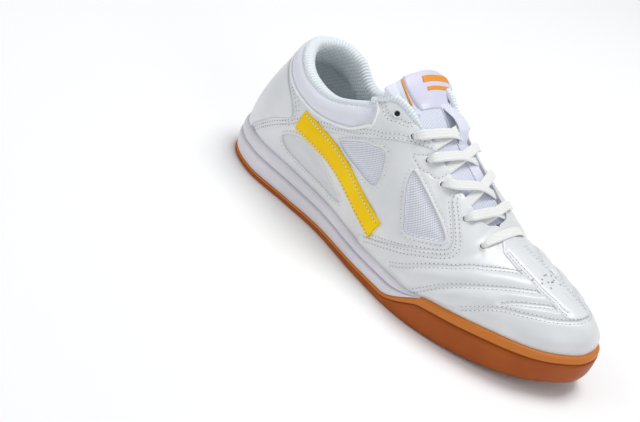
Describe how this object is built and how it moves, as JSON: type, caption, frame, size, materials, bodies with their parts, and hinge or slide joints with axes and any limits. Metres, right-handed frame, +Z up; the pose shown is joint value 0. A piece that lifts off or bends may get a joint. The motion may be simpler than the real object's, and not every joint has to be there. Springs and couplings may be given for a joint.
{
  "type": "indoor soccer shoe",
  "caption": "White low-top indoor soccer shoe for the right foot, with quilted forefoot, flat laces, padded collar and a gum rubber sole with hexagon lugs.",
  "frame": {"origin": "middle of the shoe's bounding box at the floor, under the sole", "axes": "+X from heel to toe, +Y to the inner side of the foot, +Z up from the floor"},
  "size_m": [0.292, 0.0992, 0.1186],
  "materials": {
    "gum_rubber": "satin",
    "white_foam": "matte",
    "white_leather": "satin",
    "pale_textile": "matte",
    "tongue_mesh": "matte",
    "label_satin": "satin",
    "keeper_ribbon": "satin",
    "white_lace": "matte",
    "yellow_leather": "satin",
    "insole_textile": "matte"
  },
  "bodies": {
    "root": {"outsole": "gum_rubber", "midsole": "white_foam", "insole": "insole_textile", "upper": "white_leather", "collar": "pale_textile", "heel_counter": "white_leather", "side_band_outer": "yellow_leather", "side_band_inner": "yellow_leather", "tongue": "tongue_mesh", "tongue_label": "label_satin", "lace_keeper": "keeper_ribbon", "lace_bar": "white_lace", "lace_crossing_1": "white_lace", "lace_crossing_2": "white_lace", "lace_crossing_3": "white_lace", "lace_crossing_4": "white_lace"}
  },
  "joints": []
}
